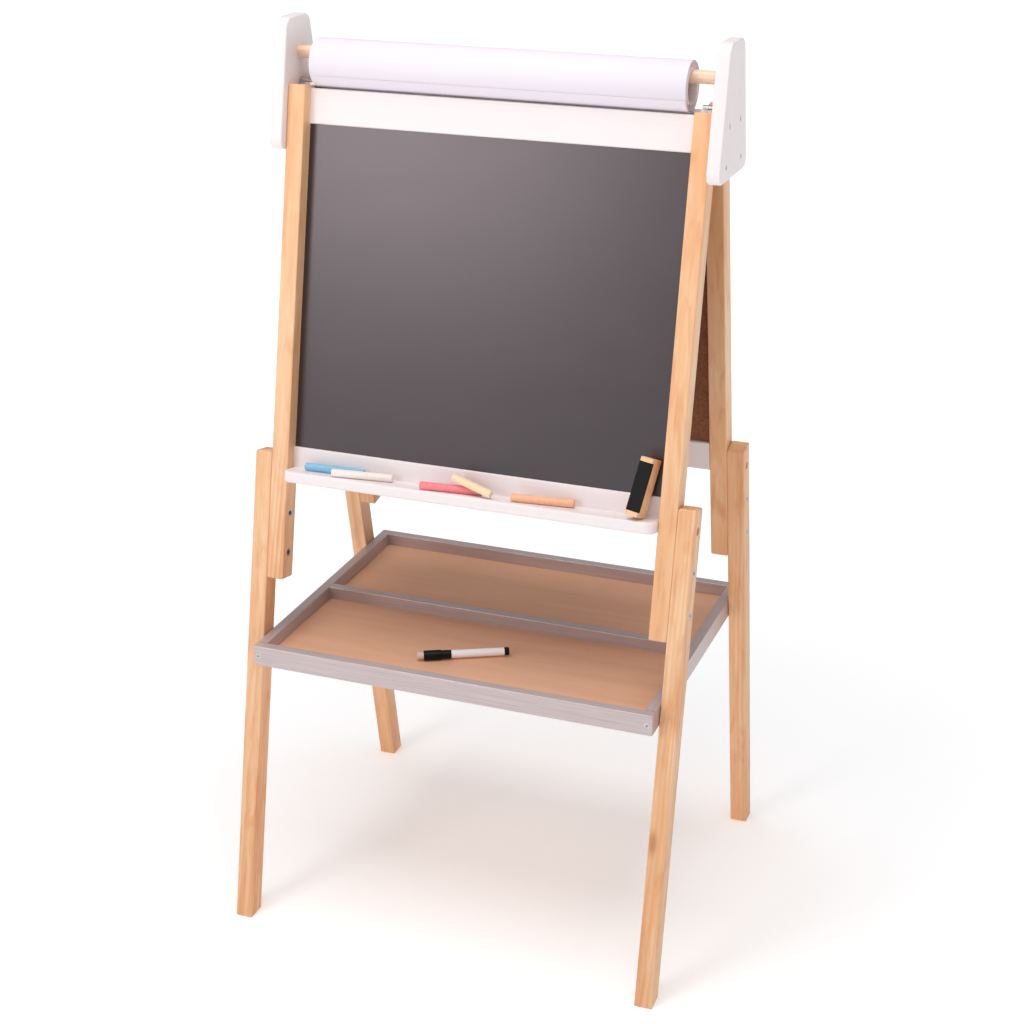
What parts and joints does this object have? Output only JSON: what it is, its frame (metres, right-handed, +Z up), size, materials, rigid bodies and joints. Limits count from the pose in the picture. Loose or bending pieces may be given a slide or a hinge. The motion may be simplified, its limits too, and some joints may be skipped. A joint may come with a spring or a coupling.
{
  "type": "artist easel",
  "caption": "Children's double-sided wooden easel: chalkboard and whiteboard frames hinged at the top, paper roll, chalk ledges and a storage tray between the legs.",
  "frame": {"origin": "on the floor under the middle of the open easel", "axes": "+Z up, +X to the right of someone facing the chalkboard, -Y towards them"},
  "size_m": [0.56, 0.48, 1.107],
  "materials": {
    "pine": "clear satin lacquer on pine",
    "pin_beech": "bare beech pin",
    "white_paint": "satin white paint on wood",
    "chalkboard": "matt black chalkboard paint on hardboard",
    "whiteboard": "glossy white laminate on brown hardboard",
    "zinc": "bright zinc plate",
    "grey_paint": "satin silver-grey paint on wood",
    "hardboard": "smooth brown hardboard",
    "paper": "plain white drawing paper",
    "card": "brown card tube",
    "blue_chalk": "blue chalk",
    "white_chalk": "white chalk",
    "pink_chalk": "pink chalk",
    "yellow_chalk": "pale yellow chalk",
    "orange_chalk": "orange chalk",
    "eraser_wood": "bare light wood",
    "felt": "black felt",
    "marker_white": "white plastic",
    "marker_black": "black plastic"
  },
  "bodies": {
    "front_frame": {"front_left_stile": "pine", "front_right_stile": "pine", "front_left_leg": "pine", "front_right_leg": "pine", "front_top_rail": "white_paint", "front_bottom_rail": "white_paint", "front_ledge": "white_paint", "chalkboard": "chalkboard", "front_leg_bolts": "zinc", "front_leg_nuts": "zinc", "front_rail_pins": "pin_beech", "front_ledge_screws": "zinc", "left_side_plate": "white_paint", "right_side_plate": "white_paint", "plate_screws": "zinc", "left_hinge_front_leaf": "zinc", "right_hinge_front_leaf": "zinc", "left_hinge_pin": "zinc", "right_hinge_pin": "zinc", "front_hinge_screws": "zinc", "tray_front_pivot_pins": "zinc"},
    "rear_frame": {"rear_left_stile": "pine", "rear_right_stile": "pine", "rear_left_leg": "pine", "rear_right_leg": "pine", "rear_top_rail": "white_paint", "rear_bottom_rail": "white_paint", "rear_ledge": "white_paint", "whiteboard": "whiteboard", "rear_leg_bolts": "zinc", "rear_leg_nuts": "zinc", "rear_rail_pins": "pin_beech", "rear_ledge_screws": "zinc", "left_hinge_rear_leaf": "zinc", "right_hinge_rear_leaf": "zinc", "rear_hinge_screws": "zinc"},
    "tray": {"tray_front_rail": "grey_paint", "tray_rear_rail": "grey_paint", "tray_left_rail": "grey_paint", "tray_right_rail": "grey_paint", "tray_floor": "hardboard", "tray_divider": "grey_paint", "tray_screws": "zinc", "tray_rear_pivot_pins": "zinc"},
    "roll_dowel": {"roll_dowel": "pine"},
    "paper_roll": {"paper_core": "card", "paper_roll": "paper"},
    "blue_chalk": {"blue_chalk": "blue_chalk"},
    "white_chalk": {"white_chalk": "white_chalk"},
    "pink_chalk": {"pink_chalk": "pink_chalk"},
    "yellow_chalk": {"yellow_chalk": "yellow_chalk"},
    "orange_chalk": {"orange_chalk": "orange_chalk"},
    "eraser": {"eraser_block": "eraser_wood", "eraser_felt": "felt"},
    "marker": {"marker_barrel": "marker_white", "marker_nib": "marker_white", "marker_plug": "marker_black"},
    "marker_cap": {"marker_cap": "marker_black", "marker_end": "marker_white"}
  },
  "joints": [
    {"name": "rear_fold", "type": "hinge", "parent": "front_frame", "child": "rear_frame", "pos_m": [0, 0, 1.031], "axis": [-1, 0, 0], "range_deg": [0, 22.6]},
    {"name": "tray_swing", "type": "hinge", "parent": "front_frame", "child": "tray", "pos_m": [0, -0.15378, 0.36265], "axis": [-1, 0, 0], "range_deg": [0, 78.7]},
    {"name": "dowel_spin", "type": "hinge", "parent": "front_frame", "child": "roll_dowel", "pos_m": [0, 0, 1.065], "axis": [1, 0, 0], "continuous": true},
    {"name": "roll_spin", "type": "hinge", "parent": "front_frame", "child": "paper_roll", "pos_m": [0, 0, 1.0538], "axis": [1, 0, 0], "continuous": true},
    {"name": "blue_chalk_lift", "type": "slide", "parent": "front_frame", "child": "blue_chalk", "axis": [0, 0, 1], "range_m": [0, 0.1]},
    {"name": "white_chalk_lift", "type": "slide", "parent": "front_frame", "child": "white_chalk", "axis": [0, 0, 1], "range_m": [0, 0.1]},
    {"name": "yellow_chalk_lift", "type": "slide", "parent": "front_frame", "child": "yellow_chalk", "axis": [0, 0, 1], "range_m": [0, 0.1]},
    {"name": "orange_chalk_lift", "type": "slide", "parent": "front_frame", "child": "orange_chalk", "axis": [0, 0, 1], "range_m": [0, 0.1]},
    {"name": "pink_chalk_slide", "type": "slide", "parent": "front_frame", "child": "pink_chalk", "axis": [-0.9863, -0.1618, 0.0323], "range_m": [0, 0.03]},
    {"name": "eraser_lift", "type": "slide", "parent": "front_frame", "child": "eraser", "axis": [0, 0, 1], "range_m": [0, 0.12]},
    {"name": "marker_lift", "type": "slide", "parent": "tray", "child": "marker", "axis": [0, 0, 1], "range_m": [0, 0.1]},
    {"name": "marker_cap_pull", "type": "slide", "parent": "marker", "child": "marker_cap", "axis": [-0.887, -0.4617, 0], "range_m": [0, 0.03]}
  ],
  "couplings": [
    {"joint": "tray_swing", "follows": "rear_fold", "ratio": 3.48}
  ]
}
